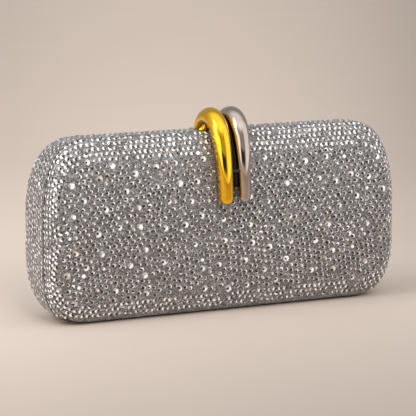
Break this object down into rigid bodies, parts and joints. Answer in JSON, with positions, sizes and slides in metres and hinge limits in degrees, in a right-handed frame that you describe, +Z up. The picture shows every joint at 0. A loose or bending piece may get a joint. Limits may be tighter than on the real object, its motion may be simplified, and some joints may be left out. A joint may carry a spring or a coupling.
{
  "type": "clutch bag",
  "caption": "Hard-case evening clutch: crystal-covered half shells on a bottom hinge, closed by a clasp of gold and gunmetal hoops over the crest.",
  "frame": {"origin": "centre of the bounding box, on the surface that the closed clutch stands on", "axes": "+X from the gold hoop to the gunmetal hoop along the long side, +Y from the front to the back, +Z up"},
  "size_m": [0.2, 0.0552, 0.1071],
  "materials": {
    "crystal_cloth": "silver-grey crystal cloth",
    "shell_board": "moulded",
    "lining_satin": "satin",
    "frame_gunmetal": "dark plated",
    "polished_gold": "polished",
    "polished_gunmetal": "polished, warm grey",
    "black_enamel": "gloss",
    "nickel_steel": "nickel plated"
  },
  "bodies": {
    "rear_case": {"rear_crystal_cover": "crystal_cloth", "rear_shell": "shell_board", "rear_lining": "lining_satin", "rear_frame": "frame_gunmetal", "slip_pocket": "lining_satin", "rear_hinge_leaf": "nickel_steel", "hinge_pin": "nickel_steel", "rear_hinge_rivet_1": "nickel_steel", "rear_hinge_rivet_2": "nickel_steel", "rear_hinge_rivet_3": "nickel_steel", "striker_plate": "nickel_steel", "striker_screw_1": "nickel_steel", "striker_screw_2": "nickel_steel"},
    "front_case": {"front_crystal_cover": "crystal_cloth", "front_shell": "shell_board", "front_lining": "lining_satin", "front_frame": "frame_gunmetal", "gold_hoop": "polished_gold", "gunmetal_hoop": "polished_gunmetal", "clasp_web": "black_enamel", "front_hinge_leaf": "nickel_steel", "front_hinge_rivet_1": "nickel_steel", "front_hinge_rivet_2": "nickel_steel", "gold_hoop_magnet": "nickel_steel", "gunmetal_hoop_magnet": "nickel_steel", "gold_hoop_screw_upper": "nickel_steel", "gold_hoop_screw_lower": "nickel_steel", "gunmetal_hoop_screw_upper": "nickel_steel", "gunmetal_hoop_screw_lower": "nickel_steel", "web_pin_upper": "nickel_steel", "web_pin_lower": "nickel_steel"}
  },
  "joints": [
    {"name": "front_open", "type": "hinge", "parent": "rear_case", "child": "front_case", "pos_m": [0, -0.00543, 0.0027], "axis": [1, 0, 0], "range_deg": [0, 60]}
  ]
}
